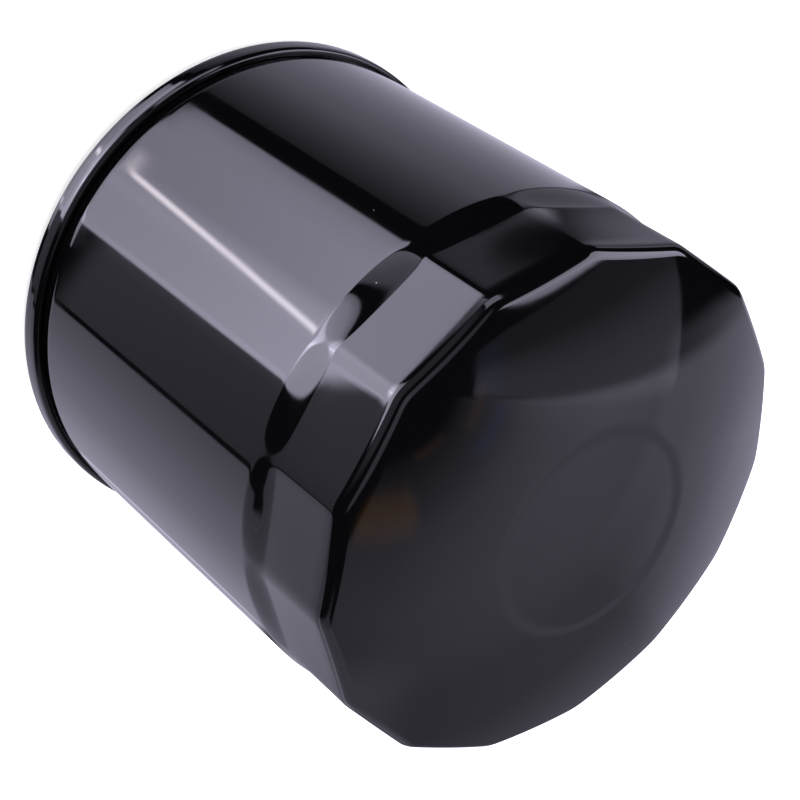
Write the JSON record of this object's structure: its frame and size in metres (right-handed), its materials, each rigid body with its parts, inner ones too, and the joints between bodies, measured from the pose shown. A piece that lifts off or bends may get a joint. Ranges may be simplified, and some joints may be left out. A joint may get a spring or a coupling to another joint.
{
  "type": "spin-on oil filter",
  "caption": "Spin-on engine oil filter canister with a fluted domed end, rolled seam, threaded base plate, gasket, check valve, pleated element and spring-loaded bypass valve.",
  "frame": {"origin": "centre of the gasket's sealing face, the lowest point of the standing filter", "axes": "+Z along the filter's axis towards the closed dome; +X through the middle of one wrench flat"},
  "size_m": [0.078, 0.078, 0.0842],
  "materials": {
    "black_enamel": "gloss",
    "lid_enamel": "gloss",
    "plate_steel": "satin",
    "weld_steel": "matte",
    "tin_plate": "satin",
    "spring_steel": "satin",
    "black_rubber": "matte",
    "silicone": "satin",
    "plastisol": "matte",
    "filter_paper": "matte"
  },
  "bodies": {
    "canister": {"can_shell": "black_enamel", "seam_lid": "lid_enamel", "base_plate": "plate_steel", "sealing_gasket": "black_rubber", "weld_nugget_1": "weld_steel", "weld_nugget_2": "weld_steel", "weld_nugget_3": "weld_steel", "weld_nugget_4": "weld_steel", "weld_nugget_5": "weld_steel", "weld_nugget_6": "weld_steel", "drain_valve_diaphragm": "silicone", "hold_down_spring": "spring_steel"},
    "element": {"lower_end_cap": "tin_plate", "upper_end_cap": "tin_plate", "lower_bond_ring": "plastisol", "upper_bond_ring": "plastisol", "center_tube": "tin_plate", "pleated_media": "filter_paper", "media_seam_clip": "tin_plate", "bypass_cage": "tin_plate", "bypass_spring": "spring_steel"},
    "bypass_valve": {"bypass_poppet": "plate_steel", "bypass_seat_washer": "black_rubber", "stem_clip": "spring_steel"},
    "drain_valve": {"drain_valve_ring": "spring_steel"}
  },
  "joints": [
    {"name": "element_slide", "type": "slide", "parent": "canister", "child": "element", "axis": [0, 0, 1], "range_m": [0, 0.0015], "stiffness_N_per_m": 20000, "springref_m": -0.002, "deforming": ["hold_down_spring"]},
    {"name": "bypass_slide", "type": "slide", "parent": "element", "child": "bypass_valve", "axis": [0, 0, -1], "range_m": [0, 0.003], "stiffness_N_per_m": 3200, "springref_m": -0.004, "deforming": ["bypass_spring"]},
    {"name": "drain_valve_slide", "type": "slide", "parent": "canister", "child": "drain_valve", "axis": [0, 0, 1], "range_m": [0, 0.0015], "stiffness_N_per_m": 200, "springref_m": -0.001, "deforming": ["drain_valve_diaphragm"]}
  ]
}
